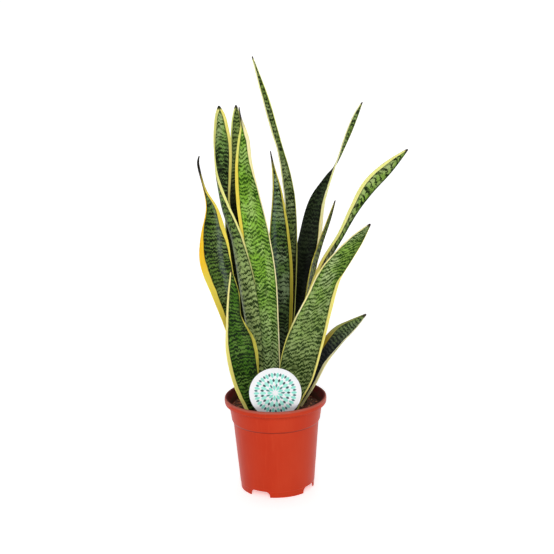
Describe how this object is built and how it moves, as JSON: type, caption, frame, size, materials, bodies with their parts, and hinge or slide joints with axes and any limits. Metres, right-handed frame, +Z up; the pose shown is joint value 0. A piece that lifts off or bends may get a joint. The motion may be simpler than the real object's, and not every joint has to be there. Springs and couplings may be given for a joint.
{
  "type": "potted snake plant",
  "caption": "Potted snake plant: upright sword-shaped leaves with dark zebra bands and yellow margins, in a terracotta-coloured nursery pot with a round stick-in label.",
  "frame": {"origin": "centre of the pot's foot, on the plane that the pot stands on", "axes": "+Z up along the pot's axis, -Y towards the front where the label stands, +X towards the side that the leaning leaf reaches to"},
  "size_m": [0.2422, 0.1206, 0.5062],
  "materials": {
    "terracotta_plastic": "satin",
    "potting_soil": "matte",
    "label_plastic": "satin",
    "leaf_dark_green": "satin",
    "leaf_mid_green": "satin",
    "leaf_bright_green": "satin"
  },
  "bodies": {
    "root": {"pot": "terracotta_plastic", "soil": "potting_soil", "plant_label": "label_plastic", "back_tall": "leaf_dark_green", "back_left": "leaf_dark_green", "left_clasping": "leaf_mid_green", "centre_broad": "leaf_bright_green", "left_outer": "leaf_mid_green", "left_front_short": "leaf_mid_green", "centre_dark": "leaf_dark_green", "right_tall": "leaf_dark_green", "right_thin": "leaf_mid_green", "right_leaning": "leaf_mid_green", "right_front_broad": "leaf_mid_green", "right_short": "leaf_mid_green"}
  },
  "joints": []
}
